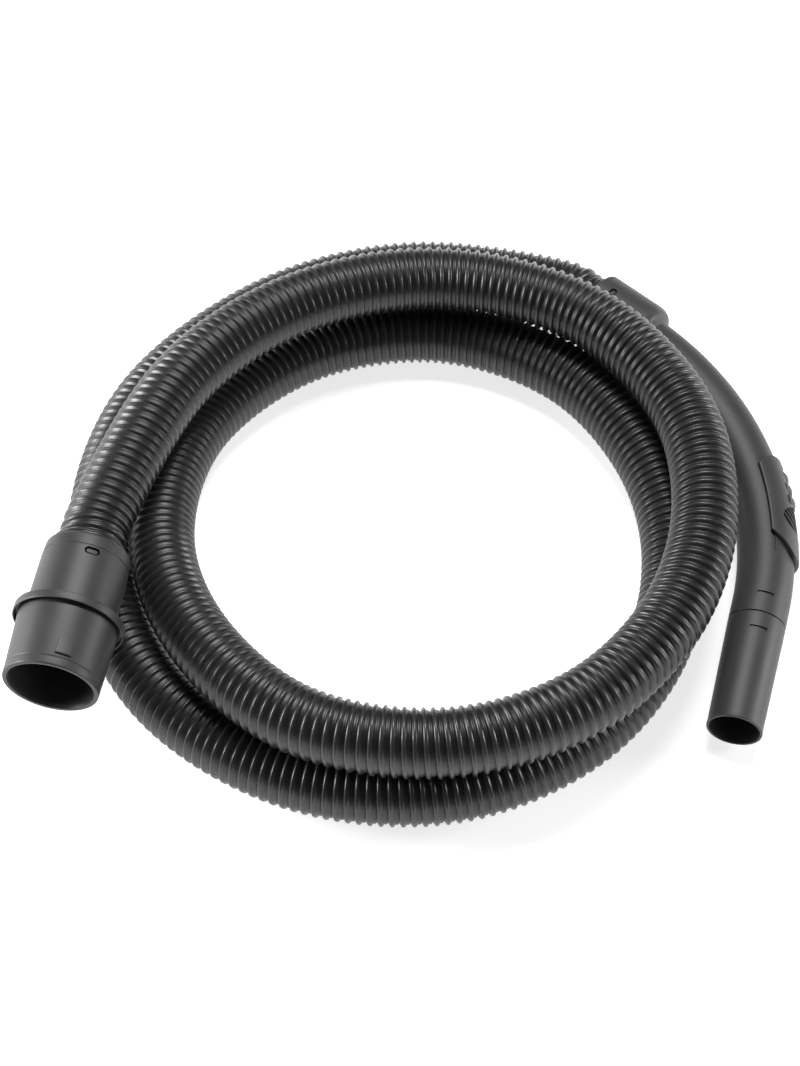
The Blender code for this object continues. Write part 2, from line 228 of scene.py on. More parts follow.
def pale_floor():
    made = Finish("studio_floor_white")
    drift = made.noise(0.6, 2.0)
    tone = made.band(drift, 0.2, 0.8).mix((0.90, 0.90, 0.90, 1.0), (0.93, 0.93, 0.93, 1.0))
    return made.set(Base_Color=tone, Roughness=0.85 + drift * 0.05, Specular_IOR_Level=0.2,
                    Emission_Color=(1.0, 1.0, 1.0, 1.0), Emission_Strength=0.75)


HOSE_BLACK = ribbed_black()
CONNECTOR_GREY = moulded("connector_satin_grey", 0.042, 0.40)
HANDLE_GREY = moulded("handle_satin_grey", 0.040, 0.43)
END_GREY = moulded("wand_end_satin_grey", 0.041, 0.42)
SLIDER_GREY = moulded("slider_satin_grey", 0.042, 0.40)
COLLAR_BLACK = moulded("collar_smooth_black", 0.030, 0.30, 0.0007, 0.00002)
LATCH_BLACK = moulded("latch_black", 0.028, 0.42)
RUBBER = soft_rubber()


# ---------------------------------------------------------------- making meshes
def linked(name, mesh):
    piece = bpy.data.objects.new(name, mesh)
    bpy.context.scene.collection.objects.link(piece)
    return piece


def baked_down(piece):
    """Makes the piece's modifiers part of its mesh."""
    graph = bpy.context.evaluated_depsgraph_get()
    made = bpy.data.meshes.new_from_object(piece.evaluated_get(graph))
    piece.modifiers.clear()
    piece.data = made


def grown(name, mesh, tree, values):
    """Runs a node tree on a mesh and keeps what comes out as a plain mesh."""
    piece = linked(name, mesh)
    change = piece.modifiers.new("shape", "NODES")
    change.node_group = tree
    sockets = {item.name: item.identifier for item in tree.interface.items_tree if item.in_out == "INPUT"}
    for label, value in values.items():
        change[sockets[label]] = value
    baked_down(piece)
    return piece


def new_tree(name, sizes):
    """An empty Geometry Nodes tree with these named inputs."""
    tree = bpy.data.node_groups.new(name, "GeometryNodeTree")
    tree.interface.new_socket("Geometry", in_out="INPUT", socket_type="NodeSocketGeometry")
    tree.interface.new_socket("Geometry", in_out="OUTPUT", socket_type="NodeSocketGeometry")
    for label, kind in sizes.items():
        tree.interface.new_socket(label, in_out="INPUT", socket_type="NodeSocket" + kind)
    entry = tree.nodes.new("NodeGroupInput")
    return tree, {socket.name: Wire(tree, socket) for socket in entry.outputs if socket.name}


def end_tree(tree, shape, finish):
    """Every tree ends the same way: real geometry, with its material."""
    shape = shape.node("GeometryNodeRealizeInstances", (), {"Geometry": shape})
    shape = shape.node("GeometryNodeSetMaterial", (), {"Geometry": shape, "Material": finish})
    leave = tree.nodes.new("NodeGroupOutput")
    tree.links.new(shape.socket, leave.inputs[0])


def tidied(mesh, merge=0.000002, fill=False):
    """Joins doubles, closes holes if asked, turns the faces outwards and smooths them."""
    work = bmesh.new()
    work.from_mesh(mesh)
    bmesh.ops.remove_doubles(work, verts=work.verts, dist=merge)
    if fill:
        bmesh.ops.holes_fill(work, edges=work.edges, sides=0)
    bmesh.ops.recalc_face_normals(work, faces=work.faces)
    for face in work.faces:
        face.smooth = True
    work.to_mesh(mesh)
    work.free()
    return mesh


def rounded(corners, arc=5):
    """Closed outline of (along, radius, edge size) in mm with its corners rounded; keeps an edge mark."""
    line = []
    count = len(corners)
    for i in range(count):
        before = Vector(corners[i - 1][:2])
        here = Vector(corners[i][:2])
        after = Vector(corners[(i + 1) % count][:2])
        size = corners[i][2]
        if size <= 0.0:
            line.append((here.x, here.y, 0.0))
            continue
        back = min(size, 0.49 * (before - here).length)
        on = min(size, 0.49 * (after - here).length)
        first = here + (before - here).normalized() * back
        last = here + (after - here).normalized() * on
        for k in range(arc + 1):
            t = k / arc
            point = first.lerp(here, t).lerp(here.lerp(last, t), t)
            line.append((point.x, point.y, math.sin(math.pi * t)))
    return line


def dense(line, step):
    """The same closed outline with extra points on its long stretches."""
    full = []
    for i, (along, radius, mark) in enumerate(line):
        next_along, next_radius, _ = line[(i + 1) % len(line)]
        pieces = max(1, math.ceil(math.hypot(next_along - along, next_radius - radius) / step))
        for k in range(pieces):
            t = k / pieces
            full.append((along + (next_along - along) * t, radius + (next_radius - radius) * t,
                         mark if k == 0 else 0.0))
    return full


def spoke(angle, radius):
    """From the middle of a line out to this radius in mm."""
    return Vector((radius * MM * math.cos(angle), radius * MM * math.sin(angle), 0.0))


def turned(name, outline, frame_at, sides, material):
    """A ring-shaped shell: a closed outline carried round a line that may be bent."""
    mesh = bpy.data.meshes.new(name)
    points = []
    marks = []
    for along, radius, mark in outline:
        base = frame_at(along * MM)
        for k in range(sides):
            points.append(base @ spoke(math.tau * k / sides, radius))
            marks.append(mark)
    faces = []
    rings = len(outline)
    for i in range(rings):
        j = (i + 1) % rings
        for k in range(sides):
            m = (k + 1) % sides
            faces.append((i * sides + k, i * sides + m, j * sides + m, j * sides + k))
    mesh.from_pydata(points, [], faces)
    edge = mesh.attributes.new("edge", "FLOAT", "POINT")
    edge.data.foreach_set("value", marks)
    mesh.materials.append(material)
    return linked(name, tidied(mesh))


def patch(name, across, along, point_at, low, high, material=None):
    """A closed curved plate between two skins, low and high, which give a radius at each (u, v).

    point_at(u, v, radius) gives places; u and v run over across and along.
    """
    mesh = bpy.data.meshes.new(name)
    points = []
    for skin in (low, high):
        for v in along:
            for u in across:
                points.append(point_at(u, v, skin(u, v)))
    wide = len(across)
    long = len(along)
    layer = wide * long
    faces = []
    for j in range(long - 1):
        for i in range(wide - 1):
            a = j * wide + i
            faces.append((a, a + wide, a + wide + 1, a + 1))
            faces.append((layer + a, layer + a + 1, layer + a + wide + 1, layer + a + wide))
    border = list(range(wide))
    border += [j * wide + wide - 1 for j in range(1, long)]
    border += [(long - 1) * wide + i for i in range(wide - 2, -1, -1)]
    border += [j * wide for j in range(long - 2, 0, -1)]
    for i, a in enumerate(border):
        b = border[(i + 1) % len(border)]
        faces.append((a, b, layer + b, layer + a))
    mesh.from_pydata(points, [], faces)
    if material:
        mesh.materials.append(material)
    return linked(name, tidied(mesh, 0.0000005))


def cut(piece, *tools, operation="DIFFERENCE"):
    for tool in tools:
        change = piece.modifiers.new(tool.name, "BOOLEAN")
        change.operation = operation
        change.solver = "EXACT"
        change.object = tool
    baked_down(piece)
    for tool in tools:
        bpy.data.objects.remove(tool, do_unlink=True)


def crisp(piece, degrees=32.0):
    """Smooth shading, but sharp where two faces meet at a real edge."""
    for face in piece.data.polygons:
        face.use_smooth = True
    piece.data.set_sharp_from_angle(angle=math.radians(degrees))
    return piece


def steps(start, end, count):
    return [start + (end - start) * i / count for i in range(count + 1)]


# ---------------------------------------------------------------- where things stand
MOUTH = Vector((-226.1, -177.7, 69.0)) * MM
CONNECTOR_YAW = math.radians(9.5)
CONNECTOR_TILT = math.radians(2.35)
CONNECTOR_LENGTH = 97.5 * MM
MARK_ANGLE = math.radians(19.2)
connector_axis = Vector((math.sin(CONNECTOR_YAW) * math.cos(CONNECTOR_TILT),
                         math.cos(CONNECTOR_YAW) * math.cos(CONNECTOR_TILT), math.sin(CONNECTOR_TILT)))
cuff_end = MOUTH + connector_axis * CONNECTOR_LENGTH
level_side = connector_axis.cross(UP).normalized()
level_up = level_side.cross(connector_axis)
mark_up = level_up * math.cos(MARK_ANGLE) + level_side * math.sin(MARK_ANGLE)
mark_side = mark_up.cross(connector_axis)

SOCKET = Vector((129.3, 164.6, 27.9)) * MM
SOCKET_LENGTH = 41.0 * MM
BEND_RADIUS = 223.0 * MM
BEND_ANGLE = math.radians(63.4)
END_LENGTH = 95.5 * MM
HANDLE_CHORD = math.radians(-77.4)
HANDLE_HEADING = math.radians(-42.0)
HANDLE_DROP = math.radians(1.45)
chord = Vector((math.cos(HANDLE_CHORD), math.sin(HANDLE_CHORD), 0.0))
across_chord = Vector((-chord.y, chord.x, 0.0))
handle_turn = Matrix.Rotation(HANDLE_DROP, 4, across_chord) @ Matrix.Rotation(HANDLE_HEADING, 4, "Z")
handle_matrix = Matrix.Translation(SOCKET) @ handle_turn
handle_axis = (handle_turn @ Vector((1.0, 0.0, 0.0))).normalized()
bend_matrix = handle_matrix @ Matrix.Translation((SOCKET_LENGTH, -BEND_RADIUS, 0.0))


def stand(side, up, forward, place):
    return Matrix(((side.x, up.x, forward.x, place.x), (side.y, up.y, forward.y, place.y),
                   (side.z, up.z, forward.z, place.z), (0.0, 0.0, 0.0, 1.0)))


def connector_at(distance):
    """x across the connector, y up through its marks, z back along it from the mouth."""
    return stand(mark_side, mark_up, connector_axis, MOUTH + connector_axis * distance)


def handle_at(distance):
    """x out of the bend, y square to the bend's plane, z along the handle from its socket."""
    turn = min(max((distance - SOCKET_LENGTH) / BEND_RADIUS, 0.0), BEND_ANGLE)
    forward = Vector((math.cos(turn), -math.sin(turn), 0.0))
    out = Vector((math.sin(turn), math.cos(turn), 0.0))
    place = Vector((SOCKET_LENGTH + BEND_RADIUS * math.sin(turn), -BEND_RADIUS * (1 - math.cos(turn)), 0.0))
    place += forward * (min(distance - SOCKET_LENGTH, 0.0) + max(distance - SOCKET_LENGTH
                                                                 - BEND_RADIUS * BEND_ANGLE, 0.0))
    return handle_matrix @ stand(out, UP, forward, place)


def on_handle(degrees, distance, radius):
    """Place on the handle: degrees from the outside of the bend towards its top, in mm otherwise."""
    return handle_at(distance * MM) @ spoke(math.radians(degrees), radius)


# ---------------------------------------------------------------- hose
HOSE_DIAMETER = 44.0 * MM
RIB_PITCH = 6.35 * MM
GROOVE_RADIUS = 18.9 * MM
ROWS_TO_A_RIB = 8
HOSE_SIDES = 26
MAIN_RIB = 0.60              # share of the pitch; a low rib fills the rest
MAIN_RIB_POWER = 0.85        # under 1 makes its crest fuller
LOW_RIB = 0.48               # height of the low rib beside the main one
HIDDEN_END = 28 * MM         # hose inside each fitting
COIL_CENTRE = (19.7 * MM, -40.2 * MM)
# (angle round the coil in degrees, radius, height) in mm: the top turn, the turn inside it on the
# floor, and the outer turn that runs into the handle
ROUTE = [
    (30, 203, 77), (60, 198, 73), (90, 199, 66.5), (120, 195, 63), (150, 182, 62), (180, 168, 66),
    (210, 164, 67), (240, 168, 67), (270, 175, 66.5), (300, 183, 64), (330, 183, 53), (360, 189, 36),
    (390, 196, 26), (420, 194, 23), (450, 186, 22.2), (480, 172, 22.2), (510, 157, 22.2),
    (540, 152, 22.2), (570, 157, 22.2), (600, 168, 22.2), (630, 183, 22.2), (660, 199, 22.2),
    (690, 218, 22.2), (720, 232, 22.2), (750, 243, 22.2), (780, 244, 24), (805, 243, 26),
]


def around(angle, radius, height):
    turn = math.radians(angle)
    return Vector((COIL_CENTRE[0] - radius * MM * math.cos(turn),
                   COIL_CENTRE[1] + radius * MM * math.sin(turn), height * MM))


def between(first, second, start, end, t):
    return first.lerp(second, (t - start) / (end - start))


def smooth(points, count):
    """Centripetal Catmull-Rom curve through the points, many short steps."""
    padded = [points[0] * 2 - points[1]] + points + [points[-1] * 2 - points[-2]]
    line = []
    for i in range(1, len(padded) - 2):
        before, start, end, after = padded[i - 1:i + 3]
        t1 = math.sqrt((start - before).length)
        t2 = t1 + math.sqrt((end - start).length)
        t3 = t2 + math.sqrt((after - end).length)
        for k in range(count):
            t = t1 + (t2 - t1) * k / count
            here = between(start, end, t1, t2, t)
            back = between(between(before, start, 0.0, t1, t), here, 0.0, t2, t)
            front = between(here, between(end, after, t2, t3, t), t1, t3, t)
            line.append(between(back, front, t1, t2, t))
    line.append(points[-1])
    return line


def hose_line():
    points = [cuff_end - connector_axis * HIDDEN_END, cuff_end, cuff_end + connector_axis * 11 * MM,
              cuff_end + connector_axis * 22 * MM]
    points += [around(*knot) for knot in ROUTE]
    points += [SOCKET - handle_axis * 22 * MM, SOCKET - handle_axis * 11 * MM, SOCKET,
               SOCKET + handle_axis * HIDDEN_END]
    return smooth(points, 24)


def ribbed_tube():
    """A tree that winds one rib round a line in a long screw, as the hose itself is wound."""
    tree, size = new_tree("wound_ribs", {
        "Ribs": "Int", "Rib pitch": "Float", "Crest radius": "Float", "Groove radius": "Float",
        "Rows to a rib": "Int", "Sides": "Int", "Finish": "Material"})
    line = size["Geometry"].node("GeometryNodeMeshToCurve", (), {"Mesh": size["Geometry"]})
    line = line.node("GeometryNodeSetCurveNormal", {"mode": "Z_UP"}, {"Curve": line})
    columns = size["Sides"] + 1.0
    last_row = size["Ribs"] * size["Rows to a rib"]
    sheet = line.node("GeometryNodeMeshGrid", (), {"Size X": 1.0, "Size Y": 1.0, "Vertices X": last_row + 1.0,
                                                  "Vertices Y": columns})
    index = line.node("GeometryNodeInputIndex")
    row = line.math("FLOOR", (index + 0.5) / columns)
    turn = (index - row * columns) / size["Sides"]
    capped = (row < 0.5) + (row > last_row - 0.5)
    wound = row / size["Rows to a rib"]
    distance = (wound + turn * (1.0 - capped)) * size["Rib pitch"]
    share = wound - line.math("FLOOR", wound)
    main = line.math("MAXIMUM", line.math("SINE", share * (math.pi / MAIN_RIB)), 0.0) ** MAIN_RIB_POWER
    low = line.math("MAXIMUM", line.math("SINE", (share - MAIN_RIB) * (math.pi / (1.0 - MAIN_RIB))), 0.0)
    crest = main + low * LOW_RIB
    radius = size["Groove radius"] + (size["Crest radius"] - size["Groove radius"]) * crest
    radius = radius * (1.0 - capped)
    here = line.node("GeometryNodeSampleCurve", {"mode": "LENGTH"}, {"Curves": line, "Length": distance},
                     "Position")
    out = here.other("Normal")
    level = here.vector("CROSS_PRODUCT", here.other("Tangent"), out)
    angle = turn * math.tau
    outward = here.vector("ADD", out.scaled(line.math("COSINE", angle)),
                          level.scaled(line.math("SINE", angle)))
    place = here.vector("ADD", here, outward.scaled(radius))
    tube = sheet.node("GeometryNodeStoreNamedAttribute", {"data_type": "FLOAT", "domain": "POINT"},
                      {"Geometry": sheet, "Name": "rib", "Value": crest * (1.0 - capped)})
    tube = tube.node("GeometryNodeSetPosition", (), {"Geometry": tube, "Position": place})
    tube = tube.node("GeometryNodeMergeByDistance", (), {"Geometry": tube, "Distance": 0.02 * MM})
    end_tree(tree, tube, size["Finish"])
    return tree


def make_hose():
    line = hose_line()
    length = sum((end - start).length for start, end in zip(line, line[1:]))
    mesh = bpy.data.meshes.new("hose_line")
    mesh.from_pydata(line, [(i, i + 1) for i in range(len(line) - 1)], [])
    hose = grown("hose_ribs", mesh, ribbed_tube(), {
        "Ribs": int((length - RIB_PITCH) / RIB_PITCH), "Rib pitch": RIB_PITCH,
        "Crest radius": HOSE_DIAMETER / 2, "Groove radius": GROOVE_RADIUS,
        "Rows to a rib": ROWS_TO_A_RIB, "Sides": HOSE_SIDES, "Finish": HOSE_BLACK})
    tidied(hose.data, 0.00001, fill=True)
    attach(hose, "hose")
    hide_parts("hose_first_length", "hose_middle_length", "hose_last_length")
    line[::3] + [line[-1]]


make_hose()


# ---------------------------------------------------------------- machine connector
WINDOW_SIZE = (10.0, 5.2)
NOSE_SIZE = (7.6, 3.3)
CONNECTOR_WINDOW = 84.6      # middle, back from the mouth
SOCKET_WINDOW = 12.6         # middle, in from the socket's rim
SPIGOT_RADIUS = 30.3         # outside, at the mouth
SPIGOT_TAPER = 0.0453        # growth of that radius for each mm back


def slot_cutter(name, frame_at, middle, length, width, low, high, turn=0.0):
    """A bar with round ends, standing out through a wall; long across it, in mm."""
    base = frame_at(middle * MM) @ Matrix.Rotation(turn, 4, "Z")
    radius = width / 2
    outline = []
    for sign in (1.0, -1.0):
        for k in range(9):
            angle = math.pi * k / 8 - math.pi / 2
            outline.append((sign * (length / 2 - radius + radius * math.cos(angle)),
                            sign * radius * math.sin(angle)))
    work = bmesh.new()
    floor = [work.verts.new(base @ Vector((x * MM, low * MM, z * MM))) for x, z in outline]
    roof = [work.verts.new(base @ Vector((x * MM, high * MM, z * MM))) for x, z in outline]
    work.faces.new(floor)
    work.faces.new(roof[::-1])
    for i in range(len(outline)):
        j = (i + 1) % len(outline)
        work.faces.new((floor[i], roof[i], roof[j], floor[j]))
    bmesh.ops.recalc_face_normals(work, faces=work.faces)
    mesh = bpy.data.meshes.new(name)
    work.to_mesh(mesh)
    work.free()
    return linked(name, mesh)


def make_connector():
    shell = turned("connector_body", dense(rounded([
        (0.0, 29.9, 0.5), (0.0, 27.6, 0.7), (2.4, 27.0, 1.0), (40.0, 26.0, 4.0), (55.0, 20.5, 3.0),
        (59.5, 20.5, 0.3), (59.5, 25.3, 0.3), (97.5, 25.3, 0.5), (97.5, 27.0, 0.5), (96.6, 27.6, 0.6),
        (89.0, 28.15, 0.15), (88.8, 27.8, 0.1), (88.1, 27.8, 0.1), (87.9, 28.25, 0.15),
        (51.3, 28.7, 0.8), (49.2, 29.5, 0.8), (49.2, 35.5, 0.9), (43.4, 35.5, 0.8), (43.4, 34.5, 0.4),
        (47.2, 34.2, 0.4), (47.2, 32.3, 0.6), (6.3, 30.45, 0.4), (5.9, 30.1, 0.3), (5.4, 30.5, 0.4),
        (0.8, 30.35, 0.5)]), 3.0), connector_at, 112, CONNECTOR_GREY)
    windows = [slot_cutter("window_%d" % k, connector_at, CONNECTOR_WINDOW, *WINDOW_SIZE, 22.0, 33.0,
                           math.pi * k) for k in range(2)]
    cut(shell, *windows)
    crisp(shell)
    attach(shell, "connector")
    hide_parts("connector_shell")


def lug_place(u, v, radius):
    return connector_at(v * MM) @ spoke(math.radians(90.0 + u), radius)


LUG_START = 8.2
LUG_LENGTH = 10.3
LUG_HALF_WIDTH = 5.2
LUG_RISE = 1.35              # height at its front
LUG_FALL = 1.15              # how much lower it is at its back
LUG_EDGE = 0.9               # width of its rounded side edges
LUG_FRONT = 0.6              # length of its rounded front edge


def make_lug():
    """A low mark on the spigot: proud at the mouth end and fading into the wall behind."""
    half = math.degrees(LUG_HALF_WIDTH / 30.8)
    across = [half * math.sin(math.pi / 2 * t) for t in steps(-1.0, 1.0, 24)]
    along = [LUG_START + LUG_LENGTH * (1 - math.cos(math.pi * t)) / 2 for t in steps(0.0, 1.0, 24)]

    def top(u, v):
        wall = SPIGOT_RADIUS + SPIGOT_TAPER * v
        rise = LUG_RISE - LUG_FALL * (v - LUG_START) / LUG_LENGTH
        side = max(0.0, (abs(u) - half + LUG_EDGE) / LUG_EDGE)
        end = max(0.0, (LUG_START + LUG_FRONT - v) / LUG_FRONT)
        return wall + rise * math.sqrt(max(0.0, 1.0 - min(1.0, side) ** 2)) * math.sqrt(
            max(0.0, 1.0 - min(1.0, end) ** 2)) - 0.05

    lug = patch("connector_lug", across, along, lug_place, lambda u, v: 29.4, top, CONNECTOR_GREY)
    crisp(lug, 40.0)
    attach(lug, "connector")


def make_collar(name, frame_at, ends, node):
    """The sleeve screwed on the hose: its grooved collar shows past the fitting's rim."""
    top, low, groove_top, groove_low = ends
    sign = 1.0 if top > low else -1.0
    collar = turned(name, dense(rounded([
        (top, 22.35, 0.2), (top, 23.9, 0.5), (top - sign * 1.0, 24.5, 0.4), (top - sign * 1.7, 24.5, 0.2),
        (top - sign * 1.9, 24.0, 0.15), (top - sign * 2.2, 24.0, 0.15), (top - sign * 2.4, 24.8, 0.2),
        (top - sign * 3.4, 24.8, 0.2), (top - sign * 3.6, 24.3, 0.1), (top - sign * 3.9, 24.3, 0.1),
        (top - sign * 4.1, 24.8, 0.2),
        (groove_top, 24.8, 0.0), (groove_top, 23.7, 0.0), (groove_low, 23.7, 0.0), (groove_low, 24.8, 0.0),
        (low, 24.8, 0.2), (low, 22.35, 0.2)]), 4.0), frame_at, 96, COLLAR_BLACK)
    crisp(collar)
    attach(collar, "hose")
    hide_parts(node)


def make_latch(name, frame_at, ends, nose_radius, body, node):
    """The lock ring in the sleeve's groove, with a rounded nose standing in each window."""
    low, high = ends
    outline = [(low, 24.0, 0.1), (low, 25.0, 0.2), (high, 25.0, 0.2), (high, 24.0, 0.1)]
    ring = turned(name, rounded(outline, 3), frame_at, 96, LATCH_BLACK)
    middle = (low + high) / 2
    noses = [slot_cutter("%s_nose_%d" % (name, k), frame_at, middle, *NOSE_SIZE, 24.4, nose_radius,
                         math.pi * k) for k in range(2)]
    for nose in noses:
        soft = nose.modifiers.new("edge", "BEVEL")
        soft.width = 0.35 * MM
        soft.segments = 3
        soft.limit_method = "ANGLE"
        baked_down(nose)
    cut(ring, *noses, operation="UNION")
    crisp(ring)
    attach(ring, body)
    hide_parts(node)


make_connector()
make_lug()
make_collar("connector_collar", connector_at, (102.3, 64.0, 87.5, 81.7), "connector_sleeve")
make_latch("connector_latch", connector_at, (82.2, 87.0), 27.3, "connector", "connector_lock_ring")


# ---------------------------------------------------------------- bent handle
SEAM = 303.0
HANDLE_LENGTH = (SOCKET_LENGTH + BEND_RADIUS * BEND_ANGLE + END_LENGTH) / MM
DASH_MIDDLE = 87.0           # degrees round the handle
GRIP_DASH = (17.0, (287.4, 289.8))
END_DASH = (17.8, (314.3, 316.7))
GUIDE_SIDES = (78.3, 87.0)
GUIDE_ENDS = (232.0, 254.7)
PORT = (230.0, 246.0)


def handle_band(name, degrees, distances, radii):
    """A closed plate bent round the handle, for cutting into it."""
    return patch(name, steps(degrees[0], degrees[1], 10), steps(distances[0], distances[1], 3),
                 on_handle, lambda u, v: radii[0], lambda u, v: radii[1])


def dash_cut(reach, distances, floor_radius):
    """A short groove across the handle, this many degrees to each side of its middle."""
    sides = (DASH_MIDDLE - reach, DASH_MIDDLE + reach)
    return handle_band("dash_cut", sides, distances, (floor_radius, 20.0))


def make_handle():
    grip = turned("handle_body", dense(rounded([
        (0.0, 25.3, 0.4), (0.0, 27.0, 1.1), (47.0, 26.95, 6.5), (50.9, 19.0, 1.2), (SEAM - 0.2, 18.9, 0.7),
        (SEAM - 0.2, 16.0, 0.2), (38.6, 16.0, 0.4), (38.5, 25.3, 0.4)], 7), 3.5), handle_at, 96, HANDLE_GREY)
    tools = [slot_cutter("socket_window_%d" % k, handle_at, SOCKET_WINDOW, *WINDOW_SIZE, 22.0, 31.0,
                         math.pi * k) for k in range(2)]
    tools.append(dash_cut(*GRIP_DASH, 17.9))
    for sign in (1.0, -1.0):
        sides = [sign * degrees for degrees in GUIDE_SIDES]
        tools.append(handle_band("guide_cut_%d" % sign, sides, GUIDE_ENDS, (18.1, 20.0)))
    tools.append(handle_band("port_cut", (-15.0, 15.0), PORT, (14.0, 21.0)))
    cut(grip, *tools)
    crisp(grip)
    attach(grip, "handle")
    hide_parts("handle_grip")

    end = turned("handle_wand_end", dense(rounded([
        (SEAM + 0.2, 16.0, 0.2), (SEAM + 0.2, 18.9, 0.7), (HANDLE_LENGTH - 1.8, 17.75, 0.3),
        (HANDLE_LENGTH - 1.4, 18.0, 0.3), (HANDLE_LENGTH, 17.9, 0.6), (HANDLE_LENGTH, 16.3, 0.6),
        (HANDLE_LENGTH - 3.0, 15.8, 1.0)]), 3.5), handle_at, 96, END_GREY)
    cut(end, dash_cut(*END_DASH, 17.7))
    crisp(end)
    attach(end, "handle")
    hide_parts("handle_end_tube")


make_handle()
make_collar("handle_collar", handle_at, (-2.4, 33.0, 9.7, 15.5), "handle_sleeve")
make_latch("handle_latch", handle_at, (10.2, 15.0), 26.3, "handle", "handle_lock_ring")


# ---------------------------------------------------------------- air slider
SLIDER_START = 179.0
SLIDER_TIP = 254.8
SLIDER_OUTER = 22.0
SLIDER_INNER = 19.3
NEAR_CORNER = 6.6            # length of the rounded near corners
SIDES_START = 185.6
RIBS_END = 212.0
SIDES_END = 239.6
FAR_POINT = 15.2             # length of the far point
# (distance, half its wrap in degrees): rounded near corners, straight sides, a blunt far point
SLIDER_WRAP = ((SLIDER_START, 46.0), (179.4, 55.0), (180.3, 63.0), (182.8, 78.0), (SIDES_START, 87.9),
               (SIDES_END, 87.9), (253.8, 41.0), (SLIDER_TIP, 32.0))
VENT_MIDDLE = 227.0
VENT_HALF = 12.5
VENT_REACH = 62.0            # degrees to each side
VENT_POWER = 0.7             # between a leaf (1) and a slot with square ends (0)
VENT_POINT = 0.4             # degrees to each side that are left at its ends
BAR_SLANT = -2.7             # degrees round the handle for each mm along it
GRIP_GROOVES = (184.8, 194.5, 204.1)
GROOVE_LENGTH = 5.0
GROOVE_DEPTH = 1.3
EDGE_ROUNDING = 1.3
BARS = 9
BAR_STEP = math.radians(13.0)
BAR_REACH = 12.2             # along the handle to each side of the vent's middle
RIB_MIDDLE = 192.3
RIB_STEP = 9.65
RIB_REACH = 38.0             # degrees to each side
RIB_WIDEN = 0.05             # each rib's extra width, as a share of the first


def slider_half(distance):
    """Half the slider's wrap in degrees."""
    for (start, first), (end, last) in zip(SLIDER_WRAP, SLIDER_WRAP[1:]):
        if distance <= end:
            return first + (last - first) * max(0.0, distance - start) / (end - start)
    return SLIDER_WRAP[-1][1]


def slider_place(u, v, radius):
    return on_handle(u * slider_half(v), v, radius)


def slider_top(u, v):
    """Outer radius: rounded off near the slider's edge, with a groove before each grip rib."""
    degrees = abs(u) * slider_half(v)
    side = math.radians(slider_half(v) - degrees) * SLIDER_OUTER
    edge = min(side, v - SLIDER_START, SLIDER_TIP - v)
    radius = SLIDER_OUTER
    if edge < EDGE_ROUNDING:
        radius -= EDGE_ROUNDING * (1.0 - math.sqrt(max(0.0, 1.0 - (1.0 - edge / EDGE_ROUNDING) ** 2)))
    for start in GRIP_GROOVES:
        if start < v < start + GROOVE_LENGTH and degrees < RIB_REACH:
            fade = 1 - (degrees / RIB_REACH) ** 6
            radius -= GROOVE_DEPTH * math.sin(math.pi * (v - start) / GROOVE_LENGTH) * fade
    return radius


def vent_half(distance):
    """Half the vent's width in degrees."""
    t = (distance - VENT_MIDDLE) / VENT_HALF
    return VENT_REACH * max(0.0, 1.0 - t * t) ** VENT_POWER + VENT_POINT


def vent_bars():
    """A tree that sets one vent bar again and again round the handle."""
    tree, size = new_tree("bars_round_the_vent", {"Bars": "Int", "Step": "Float", "Finish": "Material"})
    spots = size["Geometry"].node("GeometryNodePoints", (), {"Count": size["Bars"]})
    index = spots.node("GeometryNodeInputIndex")
    angle = (index - (size["Bars"] - 1.0) * 0.5) * size["Step"]
    turn = spots.node("ShaderNodeCombineXYZ", (), {"Z": angle})
    bars = spots.node("GeometryNodeInstanceOnPoints", (), {"Points": spots, "Instance": size["Geometry"],
                                                         "Rotation": turn})
    end_tree(tree, bars, size["Finish"])
    return tree


def grip_ribs():
    """A tree that repeats one grip rib along the bend, each a little wider than the last."""
    tree, size = new_tree("ribs_along_the_bend", {"Ribs": "Int", "Step": "Float", "Widen": "Float",
                                                  "Finish": "Material"})
    spots = size["Geometry"].node("GeometryNodePoints", (), {"Count": size["Ribs"]})
    index = spots.node("GeometryNodeInputIndex")
    turn = spots.node("ShaderNodeCombineXYZ", (), {"Z": index * size["Step"]})
    wide = spots.node("ShaderNodeCombineXYZ", (), {"X": 1.0, "Y": 1.0, "Z": 1.0 + index * size["Widen"]})
    ribs = spots.node("GeometryNodeInstanceOnPoints", (), {"Points": spots, "Instance": size["Geometry"],
                                                         "Rotation": turn, "Scale": wide})
    end_tree(tree, ribs, size["Finish"])
    return tree


def prism(name, points, wide):
    """A closed solid from rows of points, each row once round its outline."""
    rows = len(points) // wide
    faces = []
    for i in range(rows - 1):
        for k in range(wide):
            m = (k + 1) % wide
            faces.append((i * wide + k, i * wide + m, (i + 1) * wide + m, (i + 1) * wide + k))
    faces.append(tuple(range(wide)))
    faces.append(tuple(range(len(points) - 1, len(points) - wide - 1, -1)))
    mesh = bpy.data.meshes.new(name)
    mesh.from_pydata(points, [], faces)
    return tidied(mesh)


def rib_mesh():
    """One grip rib on the slider, standing about the centre of the bend."""
    back = bend_matrix.inverted()
    profile = [(-2.9, -1.0), (-2.5, 0.1), (-1.9, 0.8), (-1.0, 1.25), (0.0, 1.3), (1.0, 1.0), (2.0, 0.45),
               (2.9, -0.4)]
    points = []
    for degrees in steps(-RIB_REACH, RIB_REACH, 20):
        fade = max(0.0, 1.0 - (degrees / RIB_REACH) ** 4)
        for along, rise in profile:
            height = SLIDER_OUTER + (rise * fade if rise > 0.0 else rise)
            points.append(back @ on_handle(degrees, RIB_MIDDLE + along, height))
    return prism("grip_rib", points, len(profile))


